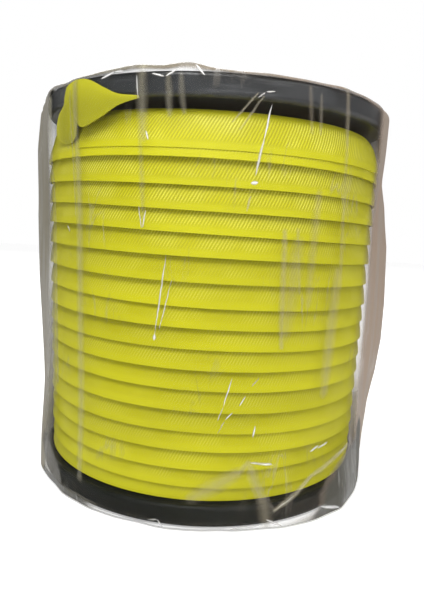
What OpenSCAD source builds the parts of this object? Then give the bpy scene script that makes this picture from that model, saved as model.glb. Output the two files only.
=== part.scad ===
// Flanged reel wound with a narrow flat web, standing in its clear film bag.
// Origin: centre of the lower rim's standing face. +Z up, the reel's axis is Z.

/* [Reel] */
// Diameter of both flanges
flange_d = 200; // [160:5:260]
// Height of the reel over both rims
reel_h = 216; // [150:2:300]
// Diameter of the barrel that the web is wound on
barrel_d = 104; // [90:2:130]
// Wall of the barrel
barrel_wall = 3; // [2:0.5:5]

/* [Flange] */
// Height of a rim, from its outer face to the disc's inner face
rim_h = 11; // [8:0.5:16]
// Wall of a rim
rim_wall = 4; // [3:0.5:7]
// Rounding of a rim's two outer edges
rim_round = 2.4; // [0.8:0.2:3]
// Thickness of a flange's disc
disc_t = 3; // [2:0.5:5]
// Diameter of the bore for a spindle
bore_d = 36; // [20:1:48]
// Wall of the hub round the bore
hub_wall = 7; // [3:0.5:9]
// Length of the hub, from the rim's outer face into the barrel
hub_len = 24; // [16:1:40]
// Number of straight ribs on a flange
spoke_count = 12; // [6:2:20]
// Thickness of every rib
rib_t = 2.2; // [1.5:0.1:4]
// Depth of the ribs' edges below the rim's outer face
rib_drop = 1.5; // [0.5:0.5:3]
// Largest clear gap between one ring rib and the next
ring_gap = 19; // [12:1:30]

/* [Snap hooks] */
// Number of hooks that hold a flange in the barrel
hook_count = 4; // [3:1:6]
// Width of a hook
hook_w = 12; // [8:1:18]
// Thickness of a hook and of the collar it stands on
hook_t = 2.4; // [1.6:0.2:3.5]
// Height of the collar that centres a flange in the barrel
collar_h = 6; // [3:1:9]
// Length of a hook beyond the collar
hook_len = 10; // [7:1:16]
// Height of a hook's barb
barb_h = 4; // [2:0.5:6]
// Gap round a barb in its window
window_gap = 0.4; // [0.2:0.1:1]
// Gap between the collar and the barrel
collar_gap = 0.15; // [0.05:0.05:0.5]

/* [Web] */
// Width of the web
web_w = 20; // [12:1:30]
// Thickness of the web
web_t = 1; // [0.6:0.1:1.6]
// Turns in the outer layer
turns = 17; // [12:1:24]
// Depth of the highest turn's lower edge inside the flanges' edges
turn_drop = 2; // [1:0.5:30]
// Amount by which the highest turn stands out past the lowest
turn_spread = 4.5; // [0:0.5:8]
// Gap between the lower disc and the lowest turn
low_gap = 1.5; // [0.5:0.5:10]
// Gap between the highest turn and the upper disc
top_gap = 5.5; // [2:0.5:20]
// Gap between a turn and the one that it laps over
lap_gap = 0.12; // [0.05:0.01:0.4]
// Gap between the buried layers and what is round them
pack_gap = 0.3; // [0.2:0.1:1]
// Height above the lower disc of the strip's inner end
start_rise = 60; // [30:5:90]
// Width of the slot in the barrel that takes the strip's inner end
slot_w = 4; // [3:0.5:8]
// Length of the inner end that lies folded inside the barrel
start_fold = 28; // [12:2:40]

/* [Free end] */
// Gap between the rim and the free end that lies over it
tail_gap = 0.6; // [0.4:0.1:1]
// Direction from the axis to the free end's tip, from the front towards -X
tail_turn = 21; // [0:1:90]

/* [Bag] */
// Gap between the rims and the film
film_gap = 2.4; // [1.8:0.1:6]
// Thickness that the film is drawn with
film_t = 0.4; // [0.3:0.1:1]
// Reach of the bag's two side creases past the rims
crease_reach = 14; // [6:1:30]
// Gap between the upper rim and the film over it
film_top_gap = 3.6; // [2:0.2:12]
// Height of the bag's mouth above the standing face
mouth_rise = 0.6; // [0.2:0.2:4]

/* [Hidden] */
$fn = 128;
flange_r = flange_d / 2;
barrel_r = barrel_d / 2;
barrel_in_r = barrel_r - barrel_wall;
bore_r = bore_d / 2;
hub_r = bore_r + hub_wall;

// Ring ribs share the plain stretch between hub and rim evenly
plain_w = flange_r - rim_wall - hub_r;
ring_count = ceil((plain_w + rib_t) / (ring_gap + rib_t)) - 1;
ring_pitch = (plain_w + rib_t) / (ring_count + 1);

// Discs' inner faces, between which the web is wound
floor_z = rim_h;
roof_z = reel_h - rim_h;

// Hooks and the windows that their barbs sit in
collar_r = barrel_in_r - collar_gap;
barb_top = collar_h + hook_len;
barb_r = barrel_r - window_gap;

// The outer layer: turns lap like shingles, each over the one below it
low_turn_r = flange_r - turn_drop - turn_spread;
pitch = (roof_z - floor_z - low_gap - top_gap - web_w) / (turns - 1);
turn_step = turn_spread / (turns - 1);
cone_angle = atan(turn_step / pitch);
lean = asin((web_t + lap_gap) / norm([turn_step, pitch])) - cone_angle;
turn_in = web_w * sin(lean) + web_t * cos(lean);
turn_top = floor_z + low_gap + (turns - 1) * pitch + web_w * cos(lean);

// The buried layers fill the room inside the outer layer
pack_depth = turn_in + web_w * cos(lean) * tan(cone_angle) + pack_gap;
pack_low = floor_z + pack_gap;
pack_top = turn_top - pack_gap;

// The free end's outline: turn from its tip in degrees, then how far its lower
// and its upper edge hang below the upper rim's top, in widths of the web
TAIL = [
    [0, 0.62, 0.56], [6, 0.775, 0.51], [12, 1.025, 0.275], [16.5, 1.15, 0.1], [20, 1.25, 0.05],
    [24, 1.4, 0.05], [28, 1.475, 0.1], [32, 1.45, 0.6], [35, 1.45, 1.2]
];

film_r = flange_r + film_gap + film_t;
crease_r = flange_r + crease_reach;
film_top = reel_h + film_top_gap + film_t;

BLACK = "#1c1e21";
YELLOW = "#c8c329";

// A tube from z = low to z = low + height
module tube(outer_r, inner_r, height, low = 0) {
    translate([0, 0, low]) rotate_extrude() translate([inner_r, 0])
        square([outer_r - inner_r, height]);
}

// A rim's section: a wall whose two outer edges are round
module rim_section() {
    translate([flange_r - rim_wall, 0]) square([rim_wall - rim_round, rim_h]);
    translate([flange_r - rim_wall, rim_round]) square([rim_wall, rim_h - 2 * rim_round]);
    for (z = [rim_round, rim_h - rim_round])
        translate([flange_r - rim_round, z]) circle(rim_round);
}

// What turns round the axis: rim, disc, hub and ring ribs
module flange_rings() {
    rotate_extrude() {
        rim_section();
        translate([bore_r, rim_h - disc_t]) square([flange_r - rim_wall / 2 - bore_r, disc_t]);
        translate([bore_r, 0]) square([hub_wall, hub_len]);
        for (i = [1:ring_count])
            translate([hub_r + i * ring_pitch - rib_t, rib_drop])
                square([rib_t, rim_h - disc_t / 2 - rib_drop]);
    }
}

module spokes() {
    for (i = [0:spoke_count - 1]) rotate(i * 360 / spoke_count)
        translate([hub_r - hub_wall / 2, -rib_t / 2, rib_drop])
            cube([flange_r - rim_wall / 2 - hub_r + hub_wall / 2, rib_t, rim_h - disc_t / 2 - rib_drop]);
}

// The collar and its hooks, from z = 0 at the disc's inner face
module snap_collar() {
    tube(collar_r, collar_r - hook_t, collar_h + disc_t / 2, -disc_t / 2);
    for (i = [0:hook_count - 1]) rotate(i * 360 / hook_count) intersection() {
        union() {
            tube(collar_r, collar_r - hook_t, barb_top);
            tube(barb_r, collar_r - hook_t, barb_h, barb_top - barb_h);
        }
        translate([0, -hook_w / 2, 0]) cube([barrel_r, hook_w, barb_top]);
    }
}

// One flange as it lies with its outer face down
module flange() {
    flange_rings();
    spokes();
    translate([0, 0, rim_h]) snap_collar();
}

module lower_flange() {
    color(BLACK) flange();
}

module upper_flange() {
    color(BLACK) translate([0, 0, reel_h]) mirror([0, 0, 1]) flange();
}

// Openings in the barrel's wall for one flange's barbs, from z = 0 at its end
module windows() {
    for (i = [0:hook_count - 1]) rotate(i * 360 / hook_count)
        translate([barrel_in_r - hook_t, -hook_w / 2 - window_gap, barb_top - barb_h - window_gap])
            cube([barrel_wall + 2 * hook_t, hook_w + 2 * window_gap, barb_h + 2 * window_gap]);
}

// The slot that the strip's inner end is pushed through
module start_slot() {
    rotate(180 / hook_count)
        translate([barrel_in_r - hook_t, -slot_w / 2, floor_z + start_rise - slot_w / 2])
            cube([barrel_wall + 2 * hook_t, slot_w, web_w + slot_w]);
}

module barrel() {
    color(BLACK) difference() {
        tube(barrel_r, barrel_in_r, roof_z - floor_z, floor_z);
        translate([0, 0, floor_z]) windows();
        translate([0, 0, roof_z]) mirror([0, 0, 1]) windows();
        start_slot();
    }
}

// The strip's inner end: through the slot, then folded along the wall inside
module web_start() {
    fold_r = barrel_in_r - pack_gap;
    fold_angle = start_fold / fold_r * 180 / PI;
    color(YELLOW) translate([0, 0, floor_z + start_rise]) rotate(180 / hook_count)
        linear_extrude(web_w) {
            translate([fold_r - web_t, 0]) square([barrel_r - fold_r + web_t, web_t]);
            intersection() {
                difference() {
                    circle(fold_r);
                    circle(fold_r - web_t);
                }
                polygon([[0, 0], [barrel_r, 0], barrel_r * [cos(fold_angle), sin(fold_angle)]]);
            }
        }
}

// The buried layers, all in one: a ring whose outer face follows the turns
module web_pack() {
    cone_low = low_turn_r - pack_depth;
    cone_top = cone_low + (pack_top - pack_low) * tan(cone_angle);
    color(YELLOW) rotate_extrude() polygon([
        [barrel_r + pack_gap, pack_low], [cone_low, pack_low],
        [cone_top, pack_top], [barrel_r + pack_gap, pack_top]
    ]);
}

// Section of one turn, from its lower outer edge: it leans in towards its top
module turn_section() {
    rotate(lean) translate([-web_t, 0]) square([web_t, web_w]);
}

// The outer layer. Each turn is drawn as a closed ring, one pitch above the last
module web_outer_turns() {
    color(YELLOW) for (i = [0:turns - 1])
        translate([0, 0, floor_z + low_gap + i * pitch]) rotate_extrude()
            translate([low_turn_r + i * turn_step, 0]) turn_section();
}

// A place on the free end: turn from its tip, drop below the rim in widths, layer
function tail_point(angle, drop, r) = [
    -r * sin(tail_turn + angle), -r * cos(tail_turn + angle), reel_h - drop * web_w
];

// The free end: it comes up from the top turn and lies folded over the rim
module web_tail() {
    in_r = flange_r + tail_gap;
    out_r = in_r + web_t;
    last = len(TAIL) - 1;
    corners = [for (t = TAIL) each [
        tail_point(t[0], t[1], in_r), tail_point(t[0], t[1], out_r),
        tail_point(t[0], t[2], out_r), tail_point(t[0], t[2], in_r)
    ]];
    sides = [for (i = [0:last - 1]) for (k = [0:3])
        [4 * i + k, 4 * i + (k + 1) % 4, 4 * i + 4 + (k + 1) % 4, 4 * i + 4 + k]];
    ends = [[3, 2, 1, 0], [for (k = [0:3]) 4 * last + k]];
    color(YELLOW) polyhedron(corners, concat(sides, ends), convexity = 4);
}

// The bag seen from above: round the rims, with a straight run out to each crease
module bag_plan(inset) {
    r = film_r - inset;
    tip = crease_r * r / film_r;
    touch = r * [r / tip, sqrt(1 - pow(r / tip, 2))];
    circle(r);
    polygon([
        [tip, 0], touch, [-touch[0], touch[1]],
        [-tip, 0], -touch, [touch[0], -touch[1]]
    ]);
}

// The bag: closed over the upper rim, its mouth just above the standing face
module film_bag() {
    color("gainsboro", 0.35) difference() {
        translate([0, 0, mouth_rise]) linear_extrude(film_top - mouth_rise) bag_plan(0);
        linear_extrude(film_top - film_t) bag_plan(film_t);
    }
}

lower_flange();
upper_flange();
barrel();
web_start();
web_pack();
web_outer_turns();
web_tail();
film_bag();
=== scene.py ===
"""A flanged plastic reel wound with a narrow flat yellow web, standing in its clear film bag.

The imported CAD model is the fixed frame: the flanges and the barrel keep their CAD meshes and get a moulded
plastic finish. The web and the film are modelled here, because both are soft goods.
"""

import logging
import math
from dataclasses import dataclass, field
from enum import Enum
from typing import Callable

import bpy
import numpy as np
from mathutils import Euler, Matrix, Vector


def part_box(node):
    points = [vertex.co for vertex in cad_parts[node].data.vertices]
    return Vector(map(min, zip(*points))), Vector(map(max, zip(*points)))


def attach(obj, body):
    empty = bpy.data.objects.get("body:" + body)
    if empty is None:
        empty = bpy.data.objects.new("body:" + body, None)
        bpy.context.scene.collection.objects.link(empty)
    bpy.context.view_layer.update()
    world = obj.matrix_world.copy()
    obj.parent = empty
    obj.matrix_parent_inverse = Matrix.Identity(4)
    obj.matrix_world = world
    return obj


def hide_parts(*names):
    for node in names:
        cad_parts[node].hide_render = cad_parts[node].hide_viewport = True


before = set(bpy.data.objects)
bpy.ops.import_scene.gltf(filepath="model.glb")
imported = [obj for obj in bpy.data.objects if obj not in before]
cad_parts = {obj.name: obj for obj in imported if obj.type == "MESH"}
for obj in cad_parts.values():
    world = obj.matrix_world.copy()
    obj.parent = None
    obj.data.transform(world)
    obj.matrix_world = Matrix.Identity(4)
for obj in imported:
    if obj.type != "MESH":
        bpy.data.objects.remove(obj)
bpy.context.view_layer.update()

MM = 0.001
log = logging.getLogger("reel")

Grid = tuple[np.ndarray, np.ndarray, np.ndarray]


class Body(Enum):
    """The two bodies that pieces ride on."""

    REEL = "reel"
    BAG = "bag"


class Slot(Enum):
    """The record's material slots."""

    PLASTIC = "reel_plastic"
    WEB = "web"
    FILM = "film"


class Mark(Enum):
    """What a crease does to the film's look: how far its ends narrow, and its soft edge's share."""

    # painted highlight: a thin white line where light catches a crease
    GLINT = (0.95, 1.0)
    # painted reflection: a soft pale band where light reflects along a fold
    VEIL = (0.3, 0.9)
    FOLD = (0.2, 0.4)


class Held(Enum):
    """How a strip or sheet is held."""

    STRETCHED = "stretched"
    FOLDED = "folded"
    DRAPED = "draped"


# ---------------------------------------------------------------- numbers and meshes


def smooth_step(x: np.ndarray, low: float, high: float) -> np.ndarray:
    """Rises smoothly from 0 at low to 1 at high."""
    t = np.clip((x - low) / (high - low), 0, 1)
    return t * t * (3 - 2 * t)


def mound(x: np.ndarray, centre: float, reach: float) -> np.ndarray:
    """A smooth mound of height 1 round centre, low at reach away from it."""
    return np.exp(-(((x - centre) / reach) ** 2))


def curve_through(values: tuple[float, ...], at: np.ndarray) -> np.ndarray:
    """A smooth curve through evenly spaced values.

    Args:
        values: the curve's values at 0, 1, 2 and so on.
        at: where the curve is read. Past either end it keeps the end's value.

    Returns:
        The curve's value at each place.
    """
    knots = np.array(values, float)
    last = len(knots) - 1
    at = np.clip(at, 0, last)
    i = np.minimum(at.astype(int), last - 1)
    t = at - i
    before, a, b, after = (knots[np.clip(i + k, 0, last)] for k in (-1, 0, 1, 2))
    bend = 2 * before - 5 * a + 4 * b - after
    return a + 0.5 * t * (b - before + t * (bend + t * (3 * (a - b) + after - before)))


def around(turn: np.ndarray, radius: np.ndarray, height: np.ndarray) -> Grid:
    """Places on a cylinder, in metres.

    Args:
        turn: turn in radians from the front, -Y, towards -X.
        radius: distance from the axis in millimetres.
        height: height in millimetres.

    Returns:
        The x, y and z of each place.
    """
    return -radius * np.sin(turn) * MM, -radius * np.cos(turn) * MM, height * MM


def link(thing: bpy.types.Object) -> None:
    """Puts a lamp or camera into the scene."""
    bpy.context.scene.collection.objects.link(thing)


def deselect_all() -> None:
    """Leaves nothing selected, so that an operator acts only on what comes next."""
    bpy.ops.object.select_all(action="DESELECT")


def pick(piece: bpy.types.Object) -> None:
    """Selects one piece and makes it the active one."""
    deselect_all()
    piece.select_set(True)
    bpy.context.view_layer.objects.active = piece


def apply_modifiers(piece: bpy.types.Object) -> None:
    """Applies a piece's modifiers in their order."""
    pick(piece)
    for modifier in list(piece.modifiers):
        bpy.ops.object.modifier_apply(modifier=modifier.name)


def woven_grid(
    name: str, columns: int, rows: int, shape: Callable[[np.ndarray, np.ndarray], Grid],
    flat: Callable[[np.ndarray, np.ndarray], tuple[np.ndarray, np.ndarray]],
) -> bpy.types.Object:
    """Makes a sheet from a flat grid that is moved to its shape.

    Args:
        name: the piece's name.
        columns: faces along the sheet.
        rows: faces across it.
        shape: gives the place in metres of each point, from its shares along and across.
        flat: gives the UV of each point in metres on the flat sheet, from the same shares.

    Returns:
        The sheet, one face thick.
    """
    deselect_all()
    bpy.ops.mesh.primitive_grid_add(x_subdivisions=columns, y_subdivisions=rows, size=1)
    piece = bpy.context.object
    piece.name = piece.data.name = name
    mesh = piece.data
    co = np.empty(len(mesh.vertices) * 3)
    mesh.vertices.foreach_get("co", co)
    co = co.reshape(-1, 3)
    along, across = co[:, 0] + 0.5, co[:, 1] + 0.5
    mesh.vertices.foreach_set("co", np.stack(shape(along, across), axis=1).ravel())
    corner = np.empty(len(mesh.loops), int)
    mesh.loops.foreach_get("vertex_index", corner)
    u, v = flat(along, across)
    mesh.uv_layers.active.data.foreach_set("uv", np.stack([u[corner], v[corner]], axis=1).ravel())
    mesh.update()
    return piece


def edit_whole(piece: bpy.types.Object, operator: Callable, **settings: object) -> None:
    """Runs a mesh operator on the whole of a piece.

    Args:
        piece: the piece.
        operator: the mesh operator.
        settings: the operator's settings.
    """
    pick(piece)
    bpy.ops.object.mode_set(mode="EDIT")
    bpy.ops.mesh.select_all(action="SELECT")
    operator(**settings)
    bpy.ops.object.mode_set(mode="OBJECT")


def thicken(piece: bpy.types.Object, thickness: float) -> None:
    """Gives a sheet its thickness, inwards from its face, with a closed edge."""
    solid = piece.modifiers.new("thickness", "SOLIDIFY")
    solid.thickness = thickness
    solid.offset = -1
    solid.use_even_offset = False
    apply_modifiers(piece)
    bpy.ops.object.shade_smooth_by_angle(angle=math.radians(50))


# ---------------------------------------------------------------- shader node groups


class NodeSheet:
    """A short way to write the nodes of one group or material."""

    def __init__(self, tree: bpy.types.NodeTree) -> None:
        """Starts on an empty tree."""
        self.tree = tree
        tree.nodes.clear()

    def node(self, kind: str, inputs: dict | None = None, **settings: object) -> bpy.types.Node:
        """Adds a node.

        Args:
            kind: the node's type without the leading ShaderNode.
            inputs: values or sockets for its inputs, by name or number.
            settings: its other settings.

        Returns:
            The node.
        """
        made = self.tree.nodes.new("ShaderNode" + kind)
        for key, value in settings.items():
            setattr(made, key, value)
        for key, value in (inputs or {}).items():
            self.feed(made.inputs[key], value)
        return made

    def feed(self, socket: bpy.types.NodeSocket, value: object) -> None:
        """Links a socket into an input, or sets the input's value."""
        if isinstance(value, bpy.types.NodeSocket):
            self.tree.links.new(value, socket)
        else:
            socket.default_value = value

    def math(self, how: str, *values: object, clamp: bool = False) -> bpy.types.NodeSocket:
        """Combines numbers with a Math node and returns its output."""
        made = self.node("Math", dict(enumerate(values)), operation=how, use_clamp=clamp)
        return made.outputs[0]

    def vector(self, how: str, *values: object) -> bpy.types.Node:
        """Combines vectors with a Vector Math node."""
        return self.node("VectorMath", dict(enumerate(values)), operation=how)

    def ramp(self, value: object, low: float, high: float, to_low: float = 0.0, to_high: float = 1.0):
        """Maps a number smoothly from one range to another and returns the output."""
        made = self.node(
            "MapRange",
            {"Value": value, "From Min": low, "From Max": high, "To Min": to_low, "To Max": to_high},
            interpolation_type="SMOOTHSTEP",
        )
        return made.outputs["Result"]

    def blend(self, share: object, first: object, second: object) -> bpy.types.NodeSocket:
        """Mixes two colours and returns the output."""
        made = self.node("Mix", data_type="RGBA")
        for key, value in ((0, share), (6, first), (7, second)):
            self.feed(made.inputs[key], value)
        return made.outputs[2]

    def noise(self, place: object, scale: float, detail: float = 2.0) -> bpy.types.NodeSocket:
        """Smooth noise at a place, as a number from 0 to 1."""
        made = self.node("TexNoise", {"Vector": place, "Scale": scale, "Detail": detail})
        return made.outputs["Fac"]

    def surface(self, out: bpy.types.Node, inputs: dict) -> None:
        """Ends a material in a Principled shader with these inputs."""
        shader = self.node("BsdfPrincipled", inputs)
        self.feed(out.inputs["Surface"], shader.outputs[0])

    def group(self, tree: bpy.types.NodeTree, **inputs: object) -> bpy.types.Node:
        """Places a node group. An underscore in an input's name stands for a space."""
        made = self.node("Group", node_tree=tree)
        for key, value in inputs.items():
            self.feed(made.inputs[key.replace("_", " ")], value)
        return made


class Groups:
    """The shader node groups that the finishes share."""

    def __init__(self) -> None:
        """Builds each group once."""
        self.twill = self.make_twill()
        self.grain = self.make_grain()
        self.crease = self.make_crease()
        self.crumple = self.make_crumple()

    @staticmethod
    def start(name: str, inputs: dict[str, tuple], outputs: dict[str, str]) -> tuple[NodeSheet, dict, dict]:
        """Makes an empty group with its named sockets.

        Args:
            name: the group's name.
            inputs: each input's kind of socket and its default, by name.
            outputs: each output's kind of socket, by name.

        Returns:
            The group's sheet, its input sockets and its output sockets.
        """
        tree = bpy.data.node_groups.new(name, "ShaderNodeTree")
        sheet = NodeSheet(tree)
        for key, (kind, value) in inputs.items():
            made = tree.interface.new_socket(key, in_out="INPUT", socket_type="NodeSocket" + kind)
            made.default_value = value
        for key, kind in outputs.items():
            tree.interface.new_socket(key, in_out="OUTPUT", socket_type="NodeSocket" + kind)
        entry = tree.nodes.new("NodeGroupInput")
        leave = tree.nodes.new("NodeGroupOutput")
        return sheet, {k: entry.outputs[k] for k in inputs}, {k: leave.inputs[k] for k in outputs}

    def make_twill(self) -> bpy.types.NodeTree:
        """Twill ribs that run aslant across a strip, between two plain selvedges, and the mask of their painted
        glints.
        """
        s, i, o = self.start(
            "Twill weave",
            {
                "Vector": ("Vector", (0, 0, 0)), "Rib Spacing": ("Float", 0.0015), "Slant": ("Float", 0.52),
                "Yarn": ("Float", 0.0009), "Width": ("Float", 0.02), "Selvedge": ("Float", 0.0036),
            },
            {"Height": "Float", "Rib": "Float", "Selvedge": "Float", "Glint": "Float"},
        )
        split = s.node("SeparateXYZ", {0: i["Vector"]})
        u, v = split.outputs[0], split.outputs[1]
        wander = s.math("MULTIPLY", s.math("SUBTRACT", s.noise(i["Vector"], 320.0), 0.5), 0.0006)
        run = s.math("ADD", s.math("ADD", u, wander), s.math("MULTIPLY", v, i["Slant"]))
        turn = s.math("MULTIPLY", s.math("DIVIDE", run, i["Rib Spacing"]), math.tau)
        rib = s.math("MULTIPLY_ADD", s.math("SINE", turn), 0.5, 0.5)
        yarn_turn = s.math("MULTIPLY", s.math("DIVIDE", v, i["Yarn"]), math.tau)
        yarn = s.math("MULTIPLY_ADD", s.math("SINE", s.math("ADD", yarn_turn, turn)), 0.5, 0.5)
        from_edge = s.math("MINIMUM", v, s.math("SUBTRACT", i["Width"], v))
        inside = s.math("DIVIDE", from_edge, i["Selvedge"])
        plain = s.ramp(inside, 0.6, 1.4, 1.0, 0.0)
        cloth = s.math("SUBTRACT", 1.0, plain)
        cord_turn = s.math("MULTIPLY", s.math("DIVIDE", v, 0.0007), math.tau)
        edge_cords = s.math("MULTIPLY", s.math("MULTIPLY_ADD", s.math("SINE", cord_turn), 0.5, 0.5), 0.35)
        body = s.math("MULTIPLY_ADD", yarn, 0.3, s.math("MULTIPLY", rib, 0.7))
        height = s.math("ADD", s.math("MULTIPLY", body, cloth), s.math("MULTIPLY", edge_cords, plain))
        s.feed(o["Height"], height)
        s.feed(o["Rib"], s.math("MULTIPLY", rib, cloth))
        s.feed(o["Selvedge"], plain)
        # Glint: where painted satin highlights go, bright stitches in random patches, none on the selvedges
        stitch = s.math("MULTIPLY", s.math("POWER", rib, 2.0), s.math("MULTIPLY_ADD", yarn, 0.8, 0.2))
        patches = s.ramp(s.noise(i["Vector"], 48.0), 0.34, 0.62)
        s.feed(o["Glint"], s.math("MULTIPLY", s.math("MULTIPLY", stitch, patches), cloth))
        return s.tree

    def make_grain(self) -> bpy.types.NodeTree:
        """A moulded surface: fine grain, flow marks and rubbed patches."""
        s, i, o = self.start(
            "Moulded grain",
            {
                "Vector": ("Vector", (0, 0, 0)), "Grain Scale": ("Float", 900.0),
                "Scuff Scale": ("Float", 35.0), "Scuff Amount": ("Float", 0.5),
            },
            {"Height": "Float", "Scuff": "Float", "Flow": "Float"},
        )
        fine = s.node("TexNoise", {"Vector": i["Vector"], "Scale": i["Grain Scale"], "Detail": 3.0})
        flow = s.node("TexNoise", {"Vector": i["Vector"], "Scale": 9.0, "Detail": 1.0, "Distortion": 0.6})
        scratch_at = s.node("Mapping", {"Vector": i["Vector"], "Scale": (1.0, 1.0, 9.0)})
        scuff = s.node("TexNoise", {"Vector": scratch_at.outputs[0], "Scale": i["Scuff Scale"], "Detail": 6.0})
        rubbed = s.ramp(scuff.outputs["Fac"], 0.52, 0.72)
        s.feed(o["Height"], s.math("MULTIPLY_ADD", rubbed, 0.3, fine.outputs["Fac"]))
        s.feed(o["Scuff"], s.math("MULTIPLY", rubbed, i["Scuff Amount"]))
        s.feed(o["Flow"], flow.outputs["Fac"])
        return s.tree

    def make_crease(self) -> bpy.types.NodeTree:
        """One crease in a sheet: a soft line between two points of its flat plan."""
        s, i, o = self.start(
            "Film crease",
            {
                "Vector": ("Vector", (0, 0, 0)), "Start": ("Vector", (0, 0, 0)), "End": ("Vector", (0, 0.1, 0)),
                "Width": ("Float", 0.002), "Strength": ("Float", 0.5), "Point": ("Float", 0.9),
                "Edge": ("Float", 1.0),
            },
            {"Mask": "Float"},
        )
        run = s.vector("SUBTRACT", i["End"], i["Start"]).outputs[0]
        here = s.vector("SUBTRACT", i["Vector"], i["Start"]).outputs[0]
        along = s.math(
            "DIVIDE", s.vector("DOT_PRODUCT", here, run).outputs["Value"],
            s.vector("DOT_PRODUCT", run, run).outputs["Value"], clamp=True,
        )
        foot = s.node("VectorMath", {0: run, "Scale": along}, operation="SCALE").outputs[0]
        away = s.vector("DISTANCE", here, foot).outputs["Value"]
        middle = s.math("ABSOLUTE", s.math("MULTIPLY_ADD", along, 2.0, -1.0))
        taper = s.math("SUBTRACT", 1.0, s.math("MULTIPLY", s.math("POWER", middle, 2.5), i["Point"]))
        half = s.math("MULTIPLY", s.math("MULTIPLY", i["Width"], 0.5), taper)
        near = s.math("SUBTRACT", 1.0, s.math("DIVIDE", away, half), clamp=True)
        soft = s.math("DIVIDE", near, i["Edge"], clamp=True)
        s.feed(o["Mask"], s.math("MULTIPLY", soft, i["Strength"]))
        return s.tree

    def make_crumple(self) -> bpy.types.NodeTree:
        """Fine creases all over a film: stretched noise and the thin ridges in it."""
        s, i, o = self.start(
            "Film crumple",
            {
                "Vector": ("Vector", (0, 0, 0)), "Across": ("Float", 90.0), "Along": ("Float", 16.0),
                "Ridge": ("Float", 0.03),
            },
            {"Height": "Float", "Ridges": "Float", "Clouds": "Float"},
        )
        scale = s.node("CombineXYZ", {0: i["Across"], 1: i["Along"], 2: 1.0}).outputs[0]
        place = s.vector("MULTIPLY", i["Vector"], scale).outputs[0]
        fold = s.node("TexNoise", {"Vector": place, "Scale": 1.0, "Detail": 3.0, "Distortion": 0.8})
        off_ridge = s.math("ABSOLUTE", s.math("SUBTRACT", fold.outputs["Fac"], 0.5))
        ridge = s.math("SUBTRACT", 1.0, s.math("DIVIDE", off_ridge, i["Ridge"]), clamp=True)
        clouds = s.noise(i["Vector"], 22.0, 2.0)
        s.feed(o["Height"], fold.outputs["Fac"])
        s.feed(o["Ridges"], s.math("MULTIPLY", ridge, s.ramp(clouds, 0.5, 0.68)))
        s.feed(o["Clouds"], clouds)
        return s.tree


# ---------------------------------------------------------------- finishes


def new_material(name: str) -> tuple[bpy.types.Material, NodeSheet, bpy.types.Node]:
    """Makes an empty material.

    Args:
        name: the material's name.

    Returns:
        The material, its sheet and its output node.
    """
    material = bpy.data.materials.new(name)
    material.use_nodes = True
    sheet = NodeSheet(material.node_tree)
    return material, sheet, sheet.node("OutputMaterial")


@dataclass(frozen=True)
class MouldedPlastic:
    """Black moulded plastic with a soft sheen, fine grain and rubbed patches."""

    name: str = "Black moulded plastic"
    dark: tuple = (0.012, 0.014, 0.016, 1)
    light: tuple = (0.03, 0.034, 0.038, 1)
    scuffed: tuple = (0.11, 0.115, 0.12, 1)
    sheen: float = 0.34
    grain_scale: float = 900.0
    scuff_amount: float = 0.45
    gloss: float = 0.55

    def build(self, groups: Groups) -> bpy.types.Material:
        """Makes the material, on Object coordinates."""
        material, s, out = new_material(self.name)
        place = s.node("TexCoord").outputs["Object"]
        grain = s.group(
            groups.grain, Vector=place, Grain_Scale=self.grain_scale, Scuff_Amount=self.scuff_amount
        )
        tone = s.blend(s.ramp(grain.outputs["Flow"], 0.35, 0.65), self.dark, self.light)
        colour = s.blend(grain.outputs["Scuff"], tone, self.scuffed)
        rough = s.math("MULTIPLY_ADD", grain.outputs["Scuff"], 0.35, self.sheen)
        bump = s.node("Bump", {"Strength": 0.12, "Distance": 0.0002, "Height": grain.outputs["Height"]})
        s.surface(out, {
            "Base Color": colour, "Roughness": rough, "Normal": bump.outputs[0],
            "Specular IOR Level": self.gloss,
        })
        return material


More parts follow.
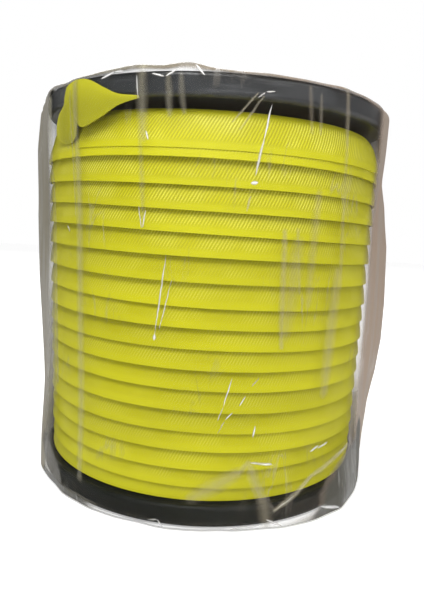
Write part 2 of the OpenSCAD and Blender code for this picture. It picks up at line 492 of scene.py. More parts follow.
@dataclass(frozen=True)
class WebCloth:
    """Flat woven polyester web: slanting twill ribs with painted satin glints, painted lap shade, plain
    selvedges.
    """

    name: str
    width: float
    # valley and crest: the ribs' recesses painted darker and their crests lighter, painted shade and light on
    # one yarn colour
    valley: tuple = (0.41, 0.385, 0.001, 1)
    crest: tuple = (0.66, 0.625, 0.004, 1)
    selvedge: tuple = (0.59, 0.565, 0.004, 1)
    # colour of the painted satin glints
    glint: tuple = (0.92, 0.9, 0.16, 1)
    rib_spacing: float = 0.0016
    rib_depth: float = 0.00016
    # darkest share of the painted shade under the lap above
    painted_lap_shade: float = 0.88
    # along the strip in metres: over this stretch the twill shows more and the painted glints grow, for the
    # light on the upper turns
    upper_turns_from: float = 6.0
    upper_turns_by: float = 9.6

    def build(self, groups: Groups) -> bpy.types.Material:
        """Makes the material, on the strip's own UV map in metres."""
        material, s, out = new_material(self.name)
        place = s.node("UVMap").outputs[0]
        twill = s.group(groups.twill, Vector=place, Rib_Spacing=self.rib_spacing, Width=self.width)
        batch = s.noise(place, 9.0)
        along, across = s.node("SeparateXYZ", {0: place}).outputs[:2]
        # stronger twill and painted glints up the strip, where the light falls on the upper turns
        height_share = s.ramp(along, self.upper_turns_from, self.upper_turns_by, 0.14, 1.0)
        shown = s.math("MULTIPLY_ADD", s.math("SUBTRACT", twill.outputs["Rib"], 0.5), height_share, 0.5)
        glint = s.math("MULTIPLY", twill.outputs["Glint"], s.math("MULTIPLY_ADD", height_share, 0.6, 0.3))
        # painted shade and light on the ribs: valley colour in the recesses, crest colour on top
        cloth = s.blend(shown, self.valley, self.crest)
        plain = s.blend(twill.outputs["Selvedge"], cloth, self.selvedge)
        # painted highlight: the glint colour laid over the cloth in the glint mask
        lit = s.blend(glint, plain, self.glint)
        # painted shade: darker towards the strip's upper edge, under the overhanging lap; the batch noise is
        # the web's own tone
        painted_lap_shade = s.ramp(across, 0.003, 0.0115, 1.0, self.painted_lap_shade)
        shade = s.math("MULTIPLY", s.ramp(batch, 0.3, 0.7, 0.92, 1.06), painted_lap_shade)
        tinted = s.node("Mix", data_type="RGBA", blend_type="MULTIPLY", inputs={0: 1.0})
        s.feed(tinted.inputs[6], lit)
        s.feed(tinted.inputs[7], s.node("CombineColor", {0: shade, 1: shade, 2: shade}).outputs[0])
        rough = s.math("MULTIPLY_ADD", glint, -0.3, 0.62)
        bump = s.node("Bump", {
            "Strength": s.math("MULTIPLY", height_share, 0.45), "Distance": self.rib_depth,
            "Height": twill.outputs["Height"],
        })
        s.surface(out, {
            "Base Color": tinted.outputs[2], "Roughness": rough, "Normal": bump.outputs[0],
            "Sheen Weight": 0.12, "Sheen Roughness": 0.4, "Sheen Tint": (0.95, 0.9, 0.2, 1),
            "Specular IOR Level": 0.3,
        })
        return material


@dataclass(frozen=True)
class Crease:
    """A crease in the film: turn from the front towards -X in degrees, and height in millimetres."""

    start: tuple[float, float]
    end: tuple[float, float]
    width: float
    strength: float
    rise: float = 0.0
    mark: Mark = Mark.GLINT

    def flat(self, radius: float) -> tuple[tuple, tuple]:
        """Its two ends in metres on the flat film, for film of that radius in millimetres."""
        return tuple((math.radians(a) * radius * MM, h * MM, 0.0) for a, h in (self.start, self.end))

    def crosses(self, turns: tuple[float, float], heights: tuple[float, float]) -> bool:
        """Whether any of it may lie in a stretch of film.

        Args:
            turns: the stretch's two edges in degrees.
            heights: its lower and upper edge in millimetres.

        Returns:
            True if the crease, its own width counted, reaches into the stretch.
        """
        for k, (low, high) in enumerate((turns, heights)):
            ends = (self.start[k], self.end[k])
            if max(ends) + self.width / 2 + 1 < low or min(ends) - self.width / 2 - 1 > high:
                return False
        return True


@dataclass(frozen=True)
class ClearFilm:
    """Clear polythene film: clear seen face on, grey and hazy seen aslant, with painted glints and painted
    reflections at its creases.
    """

    radius: float
    creases: tuple[Crease, ...]
    name: str = "Clear bag film"
    # painted light: the film's right side is coloured lighter and warmer than its left, for the light falling
    # there
    cool: tuple = (0.23, 0.205, 0.145, 1)
    warm: tuple = (0.38, 0.275, 0.2, 1)
    # colour of the painted glints
    painted_glint_white: tuple = (0.95, 0.95, 0.95, 1)
    # colour of the painted reflection bands
    reflection_tint: tuple = (0.6, 0.56, 0.38, 1)
    shade: tuple = (0.07, 0.066, 0.05, 1)
    # the grey band over the rim: crumpled film, its light grey partly painted reflection
    lid_haze_and_reflection: float = 0.6
    rim_band: tuple = (0.2148, 0.2166, 0.221, 0.229)
    ear_band: tuple = (0.087, 0.094)
    ear_haze: float = 0.8
    sheen: tuple = (0.16, 0.55)
    streaks: tuple = (0.36, 0.34, 0.31, 1)
    lid_tint: tuple = (0.42, 0.42, 0.42, 1)

    def build(self, groups: Groups) -> bpy.types.Material:
        """Makes the material, on the film's own UV map in metres."""
        material, s, out = new_material(self.name)
        place = s.node("UVMap").outputs[0]
        body = s.node("TexCoord").outputs["Object"]
        wander = s.node("TexNoise", {"Vector": place, "Scale": 160.0, "Detail": 2.0})
        drift = s.vector("SUBTRACT", wander.outputs["Color"], (0.5, 0.5, 0.5))
        small = s.node("VectorMath", {0: drift.outputs[0], "Scale": 0.0009}, operation="SCALE")
        shaken = s.vector("ADD", place, small.outputs[0]).outputs[0]
        masks = {mark: 0.0 for mark in Mark}
        for crease in self.creases:
            start, end = crease.flat(self.radius)
            line = s.group(
                groups.crease, Vector=shaken, Start=start, End=end, Width=crease.width * MM,
                Strength=crease.strength, Point=crease.mark.value[0], Edge=crease.mark.value[1],
            )
            masks[crease.mark] = s.math("MAXIMUM", line.outputs["Mask"], masks[crease.mark])
        crumple = s.group(groups.crumple, Vector=place)
        flat_up = s.node("SeparateXYZ", {0: place}).outputs[1]
        on, full, fading, off = self.rim_band
        over_rim = s.math("MULTIPLY", s.ramp(flat_up, on, full), s.ramp(flat_up, fading, off, 1.0, 0.0))
        # painted highlights: thin white lines on the crumple's ridges, more over the rim
        fine = s.math("MULTIPLY", crumple.outputs["Ridges"], s.math("MULTIPLY_ADD", over_rim, 0.4, 0.16))
        slant = s.node("LayerWeight", {"Blend": 0.5}).outputs["Facing"]
        side = s.node("SeparateXYZ", {0: body}).outputs[0]
        ear = s.ramp(s.math("ABSOLUTE", side), *self.ear_band)
        doubled = s.math("MULTIPLY", ear, s.ramp(slant, 0.22, 0.5, 0.0, self.ear_haze))
        veil = s.math("ADD", doubled, s.ramp(slant, 0.62, 0.92, 0.015, 0.6))
        patchy = s.math("MULTIPLY", veil, s.ramp(crumple.outputs["Clouds"], 0.3, 0.7, 0.8, 1.1))
        # crumpled film over the rim, made light grey partly as painted reflection
        rim_haze_and_reflection = s.math("MULTIPLY", over_rim, self.lid_haze_and_reflection)
        # painted highlights: the glint creases and the crumple ridges
        white = s.math("MAXIMUM", masks[Mark.GLINT], fine)
        # painted reflections: the pale bands along the folds
        reflection_bands = masks[Mark.VEIL]
        folded = s.math("MULTIPLY", masks[Mark.FOLD], s.ramp(slant, 0.28, 0.5, 0.06, 1.0))
        hazy = s.math("MAXIMUM", s.math("MAXIMUM", patchy, rim_haze_and_reflection), folded)
        alpha = s.math("MAXIMUM", s.math("MAXIMUM", hazy, reflection_bands), white, clamp=True)
        # painted light: lighter, warmer tone towards the right side
        tone = s.blend(s.ramp(side, -0.06, 0.09), self.cool, self.warm)
        streak = s.ramp(crumple.outputs["Height"], 0.35, 0.65, 0.0, 0.4)
        streaked = s.blend(streak, tone, self.streaks)
        lid = s.blend(s.ramp(flat_up, 0.219, 0.225), streaked, self.lid_tint)
        # painted reflections laid over the film's tone
        with_reflections = s.blend(s.math("MULTIPLY", reflection_bands, 2.0, clamp=True), lid, self.reflection_tint)
        shaded = s.blend(s.math("MULTIPLY", folded, 1.5, clamp=True), with_reflections, self.shade)
        # the painted glints laid over everything in white
        colour = s.blend(s.math("MULTIPLY", white, 1.4, clamp=True), shaded, self.painted_glint_white)
        height = s.math("MULTIPLY_ADD", s.math("ADD", white, reflection_bands), 0.6, crumple.outputs["Height"])
        bump = s.node("Bump", {"Strength": 0.5, "Distance": 0.0012, "Height": height})
        s.surface(out, {
            "Base Color": colour, "Roughness": s.ramp(ear, 0.0, 1.0, *self.sheen), "Alpha": alpha,
            "Normal": bump.outputs[0], "Specular IOR Level": 0.35,
        })
        return material


# ---------------------------------------------------------------- the object's parts


@dataclass
class Studio:
    """Pale floor, soft light and the camera."""

    camera_at: tuple = (0.0, -0.350, 0.1472)
    pitch: float = 7.59
    yaw: float = 0.47
    roll: float = 2.88
    lens: float = 32.51
    floor_radius: float = 3.0
    world_strength: float = 0.38
    sky_seen: float = 1.0
    sun_strength: float = 0.8
    sun_spread: float = 40.0
    sun_aim: tuple = (0.12, 0.4, -1.0)
    lights: tuple = field(default=(
        ("near", (-0.03, -0.26, 0.46), 0.24, 1.35),
        ("fill", (1.2, -0.9, 0.9), 1.0, 4.0),
        ("back", (-0.3, 1.5, 1.1), 1.0, 11.0),
    ))

    def build(self) -> None:
        """Makes the camera, the floor, the sky and the lamps."""
        self.place_camera()
        self.lay_floor()
        self.light()

    def place_camera(self) -> None:
        """Points the camera, with a slight roll."""
        data = bpy.data.cameras.new("camera")
        data.lens = self.lens
        data.sensor_width = 36
        data.clip_start = 0.01
        camera = bpy.data.objects.new("camera", data)
        aim = Euler((math.radians(90 - self.pitch), 0, -math.radians(self.yaw))).to_matrix()
        turned = aim @ Matrix.Rotation(math.radians(self.roll), 3, "Z")
        camera.matrix_world = Matrix.Translation(Vector(self.camera_at)) @ turned.to_4x4()
        link(camera)
        bpy.context.scene.camera = camera

    def lay_floor(self) -> None:
        """Lays a pale round floor just under the reel."""
        deselect_all()
        bpy.ops.mesh.primitive_circle_add(
            vertices=96, radius=self.floor_radius, fill_type="NGON", location=(0, 0, -0.0004)
        )
        floor = bpy.context.object
        floor.name = "floor"
        bpy.ops.object.transform_apply()
        material, s, out = new_material("Pale floor")
        place = s.node("TexCoord").outputs["Object"]
        tone = s.blend(s.noise(place, 4.0), (0.93, 0.93, 0.93, 1), (0.97, 0.97, 0.97, 1))
        lift = s.math("MULTIPLY", s.node("LightPath").outputs["Is Camera Ray"], 0.4)
        s.surface(out, {
            "Base Color": tone, "Roughness": 0.8, "Emission Color": (1, 1, 1, 1),
            "Emission Strength": lift,
        })
        floor.data.materials.append(material)

    def light(self) -> None:
        """Sets a white sky and soft lamps that look at the reel's middle."""
        world = bpy.data.worlds.new("soft white")
        world.use_nodes = True
        s = NodeSheet(world.node_tree)
        seen = s.node("LightPath").outputs["Is Camera Ray"]
        strength = s.math("MULTIPLY_ADD", seen, self.sky_seen - self.world_strength, self.world_strength)
        sky = s.node("Background", {"Color": (1, 1, 1, 1), "Strength": strength})
        s.feed(s.node("OutputWorld").inputs["Surface"], sky.outputs[0])
        bpy.context.scene.world = world
        bpy.context.scene.view_settings.view_transform = "Standard"
        sun = bpy.data.lights.new("sun", "SUN")
        sun.energy = self.sun_strength
        sun.angle = math.radians(self.sun_spread)
        shining = bpy.data.objects.new("sun", sun)
        shining.rotation_euler = Vector(self.sun_aim).to_track_quat("-Z", "Y").to_euler()
        link(shining)
        for name, at, size, power in self.lights:
            data = bpy.data.lights.new(name, "AREA")
            data.size = size
            data.energy = power
            lamp = bpy.data.objects.new(name, data)
            lamp.location = at
            lamp.visible_camera = False
            lamp.rotation_euler = (Vector((0, 0, 0.11)) - Vector(at)).to_track_quat("-Z", "Y").to_euler()
            link(lamp)


@dataclass
class ReelMouldings:
    """The two flanges and the barrel, on their CAD meshes."""

    nodes: tuple[str, ...] = ("lower_flange", "upper_flange", "barrel")

    def dress(self, groups: Groups) -> None:
        """Gives each moulding the plastic: the lower flange gets a darker, less glossy copy, its darkness
        painted shade.
        """
        plain = MouldedPlastic().build(groups)
        # painted shade: the same plastic, darker and less glossy, for the lower flange
        painted_shade = MouldedPlastic(
            "Black moulded plastic, dull", dark=(0.004, 0.005, 0.005, 1), light=(0.01, 0.012, 0.01, 1),
            scuffed=(0.03, 0.033, 0.03, 1), gloss=0.12,
        ).build(groups)
        for name in self.nodes:
            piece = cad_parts[name]
            for slot in piece.material_slots:
                slot.material = painted_shade if name == "lower_flange" else plain
            log.info("dressed %s", name)


@dataclass
class WoundWeb:
    """The strip, in four stretches. Sizes are in millimetres, and a turn starts at the front."""

    width: float = 20.0
    thick: float = 1.0
    lap_gap: float = 0.12
    edge_heights: tuple[float, ...] = (
        12, 19, 28, 37.5, 47.5, 58, 68.5, 79, 89, 99, 109.5, 121.5, 133, 144, 155, 166, 178, 182.5, 186
    )
    first_turn: float = -0.45
    last_turn: float = 17.12
    flare: float = 0.65
    flare_reach: float = 5.0
    belly: float = 0.45
    shoulder: float = 12.5
    shoulder_from: float = 192.0
    proud: float = 1.0
    spread: float = 4.5
    lapped_turns: int = 16
    least_pitch: float = 7.0
    steps_a_turn: int = 120
    rows: int = 11

    def __post_init__(self) -> None:
        """Takes the winding's place from the CAD model."""
        self.high_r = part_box("web_outer_turns")[1].x / MM + self.proud
        self.low_r = self.high_r - self.spread
        self.barrel_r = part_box("barrel")[1].x / MM
        self.pack_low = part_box("web_pack")[0].z / MM

    def over_shoulder(self, radius: np.ndarray, height: np.ndarray) -> tuple[np.ndarray, np.ndarray]:
        """Rounds the winding's top edge: what would stand above it bends in round a quarter circle."""
        past = np.clip(height - self.shoulder_from, 0, self.shoulder * math.pi / 2) / self.shoulder
        lost = np.maximum(height - self.shoulder_from, 0)
        return (
            radius - self.shoulder * (1 - np.cos(past)),
            height - lost + self.shoulder * np.sin(past),
        )

    def turn_place(self, turns: np.ndarray, across: np.ndarray) -> tuple[np.ndarray, np.ndarray]:
        """Radius and height of the strip's outer face.

        Args:
            turns: turns along the strip.
            across: distance from the strip's lower edge.

        Returns:
            The radius and the height.
        """
        low = curve_through(self.edge_heights, turns)
        pitch = np.maximum(curve_through(self.edge_heights, turns + 1) - low, self.least_pitch)
        wander = 0.28 * np.sin(4.4 * turns) + 0.16 * np.sin(17.3 * turns + 1.3) + 0.1 * np.sin(31.7 * turns)
        lean = (self.thick + self.lap_gap + 0.1) / pitch
        grow = (self.high_r - self.low_r) * np.clip(turns, 0, self.lapped_turns) / self.lapped_turns
        radius = self.low_r + grow - lean * across
        radius += self.flare * np.exp(-across / self.flare_reach)
        radius += self.belly * np.sin(np.clip(across / 11.0, 0, 1) * math.pi)
        radius += 0.15 * np.sin(9.1 * turns + 0.4)
        rise = np.sqrt(np.maximum(1 - lean**2, 0.5)) * across
        return self.over_shoulder(radius, low + wander * smooth_step(low, 11.5, 18) + rise)

    def build_outer_turns(self, cloth: bpy.types.Material) -> bpy.types.Object:
        """The outer layer: one strip wound in lapped turns, each over the one below it."""
        turns = self.last_turn - self.first_turn
        length = turns * math.tau * (self.low_r + self.high_r) / 2

        def shape(along: np.ndarray, across: np.ndarray) -> Grid:
            """The strip's place."""
            at = self.first_turn + along * turns
            radius, height = self.turn_place(at, across * self.width)
            return around(at * math.tau, radius, height)

        piece = woven_grid(
            "wound_web", int(turns * self.steps_a_turn), self.rows, shape,
            lambda along, across: (along * length * MM, across * self.width * MM),
        )
        edit_whole(piece, bpy.ops.mesh.flip_normals)
        thicken(piece, self.thick * MM)
        return self.finish(piece, cloth, ("web_outer_turns",), length, Held.STRETCHED)

    def build_buried_layers(self, cloth: bpy.types.Material) -> bpy.types.Object:
        """The buried layers: a ring whose ends show the edges of its layers."""
        inner, layers = self.barrel_r + 0.5, 24
        outer = self.low_r - 5.5
        top, lean = 196.0, 3.5
        low = self.pack_low + 0.3
        step = (outer - inner) / layers
        ridge = 0.5
        ends = []
        for k in range(layers):
            r = inner + k * step
            ends += [(r + 0.1 * step, -ridge), (r + 0.5 * step, 0), (r + 0.9 * step, -ridge)]
        points = [(r, low - h) for r, h in ends]
        points += [(outer + lean * t, low + (top - low) * t) for t in np.linspace(0.02, 0.98, 12)]
        points += [(r + lean * (r - inner) / (outer - inner), top + h) for r, h in reversed(ends)]
        deselect_all()
        bpy.ops.mesh.primitive_circle_add(vertices=len(points), radius=1)
        piece = bpy.context.object
        piece.name = piece.data.name = "buried_layers"
        for vertex, (r, z) in zip(piece.data.vertices, points):
            vertex.co = (r * MM, 0, z * MM)
        wind = piece.modifiers.new("wind", "SCREW")
        wind.axis = "Z"
        wind.steps = wind.render_steps = 96
        wind.use_merge_vertices = True
        apply_modifiers(piece)
        edit_whole(piece, bpy.ops.mesh.normals_make_consistent, inside=False)
        edit_whole(piece, bpy.ops.uv.cube_project, cube_size=1.0)
        bpy.ops.object.shade_smooth_by_angle(angle=math.radians(50))
        piece.data.materials.append(cloth)
        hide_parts("web_pack")
        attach(piece, Body.REEL.value)
        log.info("built %s", piece.name)
        return piece

    def build_inner_end(self, cloth: bpy.types.Material) -> bpy.types.Object:
        """The strip's inner end: through the barrel's slot, then folded along the wall inside."""
        low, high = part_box("web_start")
        wall = 3.6
        inner = self.barrel_r - wall
        fold = 28.0
        length = wall + fold
        slot_turn = math.radians(45)

        def shape(along: np.ndarray, across: np.ndarray) -> Grid:
            """Straight in through the slot, then round."""
            run = along * length
            past = np.maximum(run - wall, 0)
            radius = self.barrel_r - np.minimum(run, wall) - 0.4 * smooth_step(past, 0, 4)
            turn = slot_turn + past / inner
            height = (low.z / MM + 0.5) + across * (self.width - 1)
            return radius * np.cos(turn) * MM, radius * np.sin(turn) * MM, height * MM

        piece = woven_grid(
            "inner_end", 40, 8, shape,
            lambda along, across: (along * length * MM, across * self.width * MM),
        )
        thicken(piece, self.thick * 0.9 * MM)
        return self.finish(piece, cloth, ("web_start",), length, Held.FOLDED)

    def build_free_end(self, cloth: bpy.types.Material) -> bpy.types.Object:
        """The free end: up from the top turn, gathered over the rim, its cut end laid to the right."""
        left = ((52, 186.5), (55.6, 190), (55.4, 195), (53.2, 200), (49.4, 204.3), (48.3, 209), (46.6, 213),
                (42, 214.8), (37, 213.8), (31.5, 209.5), (26.5, 205.9), (20.5, 204.7))
        right = ((46.5, 186), (43.8, 189), (43, 195), (43.6, 201), (45.4, 205), (43.6, 203.5), (42.6, 197),
                 (40, 192.5), (36.5, 193.3), (31.5, 196.6), (26.4, 201), (20.3, 203.6))
        out = (99.2, 99.9, 100.4, 100.9, 101.3, 101.6, 101.7, 101.7, 101.7, 101.7, 101.6, 101.5)
        cup = (0.0, 0.5, 0.8, 0.6, 0.2, -0.2, 0.25, 0.4, 0.35, 0.25, 0.1, 0.0)
        last = len(left) - 1
        length, cut = 75.0, 25.0

        def shape(along: np.ndarray, across: np.ndarray) -> Grid:
            """Between the two borders, with a cupped section."""
            at = along * last
            border = [curve_through([p[k] for p in side], at) for side in (left, right) for k in (0, 1)]
            turn = border[0] + (border[2] - border[0]) * across
            height = border[1] + (border[3] - border[1]) * across
            bulge = curve_through(cup, at) * np.sin(across * math.pi)
            radius = curve_through(out, at) + bulge
            return around(np.radians(turn), radius, height)

        piece = woven_grid(
            "free_end", 88, 16, shape,
            lambda along, across: (along * length * MM, across * self.width * MM),
        )
        thicken(piece, self.thick * 0.6 * MM)
        return self.finish(piece, cloth, ("web_tail",), length, Held.FOLDED, cut)

    def finish(
        self, piece: bpy.types.Object, cloth: bpy.types.Material, nodes: tuple[str, ...],
        length: float, held: Held, cut: float = 0.0,
    ) -> bpy.types.Object:
        """Dresses a stretch of the strip and puts it on the reel.

        Args:
            piece: the stretch.
            cloth: its finish.
            nodes: the CAD nodes that it stands for.
            length: its length in millimetres.
            held: how it is held; not used.
            cut: length in millimetres of the slanting cut at its end; not used.

        Returns:
            The piece.
        """
        piece.data.materials.append(cloth)
        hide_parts(*nodes)
        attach(piece, Body.REEL.value)
        log.info("built %s, %.0f mm of strip", piece.name, length)
        return piece


# Each crease's start turn and height, end turn and height, width, strength and rise, by its mark.
CREASE_TABLE = {
    # painted reflections: soft pale bands along the film's folds
    Mark.VEIL: (
        (42, 213, 37, 14, 8.0, 0.2, 0.8), (44.4, 210, 42.5, 150, 1.6, 0.25, 0.3),
        (19.4, 217, 18.6, 186, 7.5, 0.18, 0.8), (19.6, 190, 18.4, 150, 4.0, 0.12, 0.3),
        (12.5, 213, 11.8, 196, 5.0, 0.16, 0.4), (9.3, 213, 8.2, 197, 4.5, 0.14, 0.4),
        (56.5, 209, 57.5, 172, 8.0, 0.3, 0.6), (56.5, 172, 52, 60, 6.0, 0.2, 0.4),
        (-36.5, 217, -38, 190, 5.0, 0.2, 0.5), (-38, 194, -40, 158, 4.5, 0.14, 0.5),
        (-40, 166, -41.5, 120, 5.0, 0.16, 0.3), (-24.3, 213, -25.8, 193, 4.0, 0.11, 0.3),
        (-28, 210, -28.6, 193, 3.2, 0.13, 0.3), (-10, 207, -4, 194, 1.6, 0.25, 0),
        (-11.5, 206, -6, 191, 1.6, 0.22, 0), (-20, 147, -21.2, 92, 5.5, 0.2, 0.5),
        (-24, 148, -25.8, 118, 4.0, 0.16, 0.3), (-24.5, 142, -22, 98, 14.0, 0.12, 0.3),
        (-30, 166, -29, 112, 8.0, 0.13, 0.3), (-40, 128, -38, 66, 12.0, 0.18, 0.4),
        (-13.6, 34, -18, 14, 8.0, 0.22, 0.7), (-18, 17, -19.5, 2, 10.0, 0.2, 0.7),
        (-13.5, 35, -10.6, 29.5, 5.0, 0.22, 0.5), (-10.6, 30, 2, 17, 11.0, 0.2, 0.5),
        (-52, 33, -33, 24.5, 4.0, 0.34, 1.4), (-33, 24.5, -21.3, 10, 4.0, 0.36, 1.4),
    ),
    # painted highlights: thin white glint lines along the creases
    Mark.GLINT: (
        (20.6, 213, 20, 203, 1.0, 0.7, 0), (-13.7, 203, -12.2, 187, 1.2, 1.0, 0.3),
        (-12.4, 189, -10.6, 171, 1.8, 0.7, 0.3), (-11.6, 168.4, -9.6, 168, 2.2, 1.0, 0),
        (-10, 163, -9, 155, 1.6, 0.3, 0), (-10, 205, -12, 208, 0.9, 0.5, 0),
        (-12, 208, -14.5, 208.6, 1.0, 0.8, 0), (19.8, 156, 18.7, 145, 0.9, 0.7, 0),
        (17.6, 154, 18.5, 145, 0.9, 0.9, 0), (17.8, 189, 17.2, 185, 1.4, 0.9, 0),
        (47.3, 145, 45.5, 141, 1.1, 0.7, 0), (11.6, 134, 14, 95, 1.1, 0.8, 0),
        (9.7, 123.5, 13, 96, 0.9, 0.7, 0), (13.9, 96, 14.1, 93, 2.2, 0.9, 0),
        (-7.7, 77, -5.6, 62.5, 0.9, 1.0, 0), (-5.6, 62.5, -4.2, 55, 0.7, 0.7, 0),
        (-11.9, 68, -10, 63, 1.0, 0.9, 0), (-8.4, 60, -6.4, 56, 1.0, 0.9, 0),
        (-6.4, 56, -4.3, 49, 0.8, 0.6, 0), (-15.3, 77, -13.2, 72.5, 0.8, 0.6, 0),
        (-14.9, 53, -14.5, 47, 1.2, 1.0, 0), (-13.5, 35, -20.5, 33, 2.0, 0.6, 0.6),
        (-17.5, 33.6, -20.7, 32.9, 2.2, 0.8, 0.2), (-52, 33.2, -44, 29.6, 1.0, 0.5, 0),
        (-27, 17, -21.3, 10, 1.2, 0.5, 0), (-33.5, 36, -37, 38, 1.8, 0.8, 0),
        (-36.5, 36.5, -41.5, 38.5, 1.4, 0.8, 0), (-35.5, 8, -46, 1, 2.4, 0.7, 0.7),
        (-19, 5.4, -24, 1, 2.2, 0.6, 0.6), (-9, 1.2, -18, 2.6, 1.6, 0.8, 0.3),
        (13.8, 3, 11, 4.4, 1.4, 0.6, 0), (11, 4.4, 9.2, 1, 1.4, 0.8, 0), (32, 213, 28, 215.4, 1.6, 0.8, 0),
        (28, 215.4, 24.5, 215, 1.2, 0.7, 0), (17, 213.8, 13.3, 212.4, 1.2, 0.8, 0.5),
        (13.3, 212.4, 10.3, 215, 1.2, 0.8, 0.5), (6, 217.4, 3.3, 213, 1.4, 0.8, 0.5),
    ),
    Mark.FOLD: (
        (-70, 20, -44, 8, 38.0, 0.9, 0), (-46, 9, -26, 3, 20.0, 0.7, 0), (-66, 32, -68, 2, 24.0, 0.8, 0),
        (62, 2, -30, 2, 7.0, 0.75, 0), (62, 20, 50, 4, 18.0, 0.5, 0),
    ),
}


@dataclass
class FilmBag:
    """The clear bag: tight over the rims, folded to a crease at each side, crumpled over the top."""

    film: float = 0.25
    columns: int = 300
    rows: int = 120
    clearance: float = 2.4
    mouth: float = 0.7
    corner: float = 5.0
    ease: float = 1.03
    seam: float = 0.00002
    bulges: tuple = ((5.0, -42, 0.34, 6, 18), (0.7, 38, 0.4, 203, 16))
    panel_turns: tuple[float, ...] = (-180, -62, -31, -16, -8, 8, 24, 62, 180)
    panel_heights: tuple[float, ...] = (-5, 20, 45, 75, 125, 172, 192, 206, 230)
    left_reach: tuple = ((0, 104), (28, 105.1), (55, 107.4), (82, 109), (112, 111), (150, 112), (190, 111),
                         (212, 109), (222, 106.5))
    right_reach: tuple = ((0, 107), (18, 108), (38, 110.4), (58, 114.5), (80, 116.7), (105, 116.8),
                          (140, 115), (165, 111), (185, 106), (200, 103.2), (222, 102.5))
    creases: tuple[Crease, ...] = field(default_factory=lambda: tuple(
        Crease((a, b), (c, d), width, strength, rise, mark)
        for mark, rows in CREASE_TABLE.items()
        for a, b, c, d, width, strength, rise in rows
    ))

    def __post_init__(self) -> None:
        """Takes the bag's place from the CAD model."""
        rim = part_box("upper_flange")[1]
        self.rim_r = rim.x / MM
        self.rim_top = rim.z / MM
        self.radius = self.rim_r + self.clearance
        self.side = self.rim_top + 1.0 - self.corner - self.mouth
        self.bend = self.corner * math.pi / 2
        self.lid = self.radius - self.corner
        self.length = self.side + self.bend + self.lid

    def down_profile(self, across: np.ndarray) -> np.ndarray:
        """Distance along the film from its mouth, with more rows on the side than on the lid."""
        return np.interp(across, (0, 0.78, 0.84, 1), (0, self.side, self.side + self.bend, self.length))

    def reach_past_rim(self, turn: np.ndarray, height: np.ndarray) -> np.ndarray:
        """Radius of the bag's plan: round the rims, with a straight run out to each side crease."""
        radius = np.full_like(turn, self.radius)
        for knots, ear in ((self.left_reach, math.pi / 2), (self.right_reach, -math.pi / 2)):
            tip = np.interp(height, *zip(*knots))
            touch = np.arccos(np.clip(self.radius / np.maximum(tip, self.radius + 0.05), 0, 1))
            from_ear = np.abs(np.angle(np.exp(1j * (turn - ear))))
            straight = self.radius / np.cos(np.maximum(touch - from_ear, 0))
            radius = np.maximum(radius, straight)
        return radius

    def crease_rise(self, turn: np.ndarray, height: np.ndarray) -> np.ndarray:
        """How far the creases lift the film, in millimetres."""
        rise = np.zeros_like(turn)
        for crease in self.creases:
            if not crease.rise:
                continue
            (x0, y0, _), (x1, y1, _) = crease.flat(self.radius)
            x, y = turn * self.radius - x0 / MM, height - y0 / MM
            dx, dy = (x1 - x0) / MM, (y1 - y0) / MM
            along = np.clip((x * dx + y * dy) / (dx * dx + dy * dy), 0, 1)
            away = np.hypot(x - along * dx, y - along * dy)
            rise = np.maximum(rise, crease.rise * np.exp(-((away / (crease.width + 1.2)) ** 2)))
        return rise

    def wrinkles(self, turn: np.ndarray, height: np.ndarray) -> np.ndarray:
        """Upright flutes, strongest near the rims, in millimetres."""
        near_rims = mound(height, self.rim_top, 45) + mound(height, 0, 30)
        flutes = np.sin(11 * turn + 0.7 + 0.01 * height) + 0.7 * np.sin(19 * turn - 1.1 - 0.02 * height)
        flutes += 0.5 * np.sin(31 * turn + 2.0 + 0.03 * height)
        return 0.28 * flutes * (0.35 + near_rims)

    def place(self, along: np.ndarray, across: np.ndarray) -> Grid:
        """The film's place, from its mouth up the side and over the lid to the middle."""
        turn = (along - 0.5) * math.tau
        run = self.down_profile(across)
        up = np.minimum(run, self.side)
        round_share = np.clip(run - self.side, 0, self.bend) / self.bend
        inward = np.maximum(run - self.side - self.bend, 0)
        height = self.mouth + up + self.corner * np.sin(round_share * math.pi / 2)
        plan = self.reach_past_rim(turn, height)
        soft = self.crease_rise(turn, height) + self.wrinkles(turn, height)
        height_share = smooth_step(height, 14, 60) * smooth_step(-height, -198, -150)
        plan = plan + soft - 1.6 * height_share
        for out, at, wide, level, tall in self.bulges:
            plan += out * mound(turn, math.radians(at), wide) * mound(height, level, tall)
        plan -= self.corner * (1 - np.cos(round_share * math.pi / 2))
        share = 1 - inward / self.lid
        radius = plan * share
        over_rim = smooth_step(share, 0.55, 0.97)
        crumple = 2.6 * mound(turn, math.radians(8), 0.1) + 2.0 * mound(turn, math.radians(24), 0.2)
        crumple += 1.0 * np.maximum(np.sin(5 * turn + 2.4), 0) * smooth_step(np.abs(turn), 0.9, 1.5)
        lid = 0.6 * np.sin(7 * turn + 9 * share) + 0.5 * np.sin(13 * turn - 14 * share)
        lid += 0.8 * np.sin(3 * turn + 21 * share)
        lift = crumple * over_rim * smooth_step(round_share, 0.0, 1.0)
        lift += lid * smooth_step(-share, -0.97, -0.8) * smooth_step(share, 0.02, 0.2)
        return around(turn, radius, height + lift)

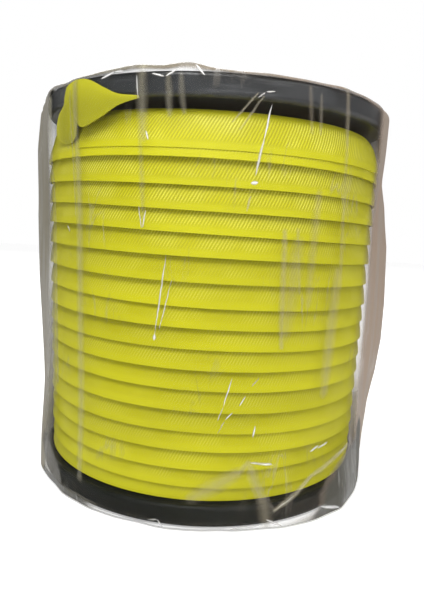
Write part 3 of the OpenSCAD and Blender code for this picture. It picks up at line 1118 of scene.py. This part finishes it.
    def dress(self, piece: bpy.types.Object, groups: Groups) -> None:
        """Gives each panel of the film a finish that holds only the creases that reach into it."""
        mesh = piece.data
        uv = np.empty(len(mesh.loops) * 2)
        mesh.uv_layers.active.data.foreach_get("uv", uv)
        first = np.empty(len(mesh.polygons), int)
        mesh.polygons.foreach_get("loop_start", first)
        place = uv.reshape(-1, 2)[first] / MM
        column = np.searchsorted(self.panel_turns, np.degrees(place[:, 0] / self.radius)) - 1
        level = np.searchsorted(self.panel_heights, place[:, 1]) - 1
        worn = np.zeros(len(mesh.polygons), np.int32)
        mesh.materials.append(ClearFilm(self.radius, ()).build(groups))
        for i, turns in enumerate(zip(self.panel_turns, self.panel_turns[1:])):
            for j, heights in enumerate(zip(self.panel_heights, self.panel_heights[1:])):
                held = tuple(c for c in self.creases if c.crosses(turns, heights))
                if held:
                    worn[(column == i) & (level == j)] = len(mesh.materials)
                    finish = ClearFilm(self.radius, held, f"Clear bag film {i}{j}")
                    mesh.materials.append(finish.build(groups))
        mesh.polygons.foreach_set("material_index", worn)

    def build(self, groups: Groups) -> bpy.types.Object:
        """Makes the bag in one sheet and puts it on its own body."""
        girth = math.tau * self.radius
        piece = woven_grid(
            "clear_bag", self.columns, self.rows, self.place,
            lambda along, across: (
                (along - 0.5) * girth * MM, (self.mouth + self.down_profile(across)) * MM
            ),
        )
        edit_whole(piece, bpy.ops.mesh.remove_doubles, threshold=self.seam)
        edit_whole(piece, bpy.ops.mesh.flip_normals)
        thicken(piece, self.film * MM)
        bpy.ops.object.shade_smooth()
        self.dress(piece, groups)
        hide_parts("film_bag")
        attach(piece, Body.BAG.value)
        log.info("built %s", piece.name)
        return piece


def main() -> None:
    """Builds the scene in order."""
    logging.basicConfig(level=logging.INFO, format="%(message)s")
    Studio().build()
    groups = Groups()
    ReelMouldings().dress(groups)
    web = WoundWeb()
    cloth = WebCloth("Yellow twill web", width=web.width * MM).build(groups)
    web.build_outer_turns(cloth)
    web.build_buried_layers(cloth)
    web.build_inner_end(cloth)
    # The free end shows the web's smooth back face; its darker colours are painted shade.
    smooth = WebCloth(
        "Yellow web, smooth face", width=web.width * MM, valley=(0.43, 0.41, 0.008, 1), rib_depth=0.00003,
        crest=(0.5, 0.48, 0.01, 1), selvedge=(0.5, 0.48, 0.01, 1), glint=(0.55, 0.53, 0.03, 1),
    )
    web.build_free_end(smooth.build(groups))
    FilmBag().build(groups)


if __name__ == "__main__":
    main()
